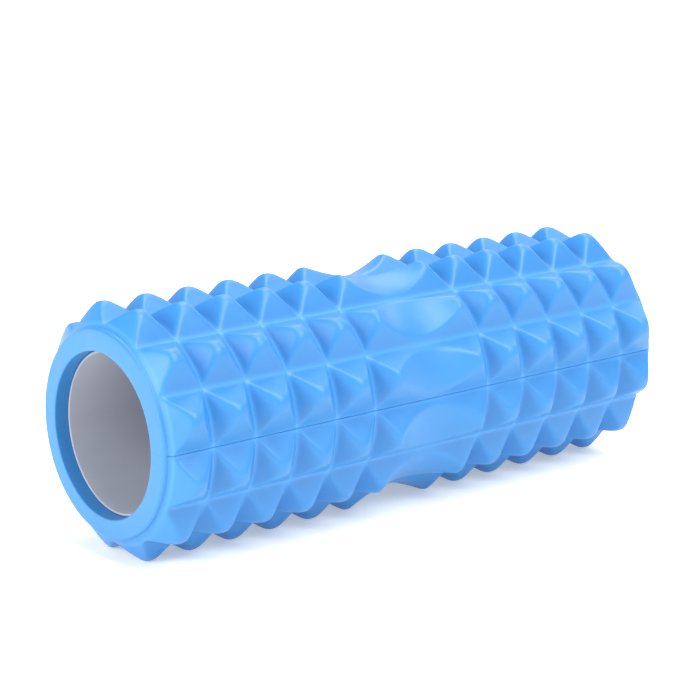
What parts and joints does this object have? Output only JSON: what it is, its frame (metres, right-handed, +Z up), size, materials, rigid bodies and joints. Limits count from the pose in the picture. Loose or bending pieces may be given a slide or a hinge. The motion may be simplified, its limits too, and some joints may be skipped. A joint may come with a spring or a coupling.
{
  "type": "foam roller",
  "caption": "Hollow massage roller: a knobbed blue foam sleeve with scooped middle cells, glued round a thin grey plastic tube.",
  "frame": {"origin": "middle of the tube's bore, half way between the two end faces", "axes": "+X along the roller's axis, +Z up as it lies on two rows of knobs, butt joint of the sleeve on the -Y side"},
  "size_m": [0.33, 0.1236, 0.1236],
  "materials": {
    "foam": "moulded closed-cell foam, soft satin skin",
    "core_plastic": "extruded grey plastic, satin",
    "adhesive": "cured contact adhesive, matte"
  },
  "bodies": {
    "root": {"foam_sleeve": "foam", "core_tube": "core_plastic", "sleeve_adhesive": "adhesive", "joint_adhesive": "adhesive"}
  },
  "joints": []
}
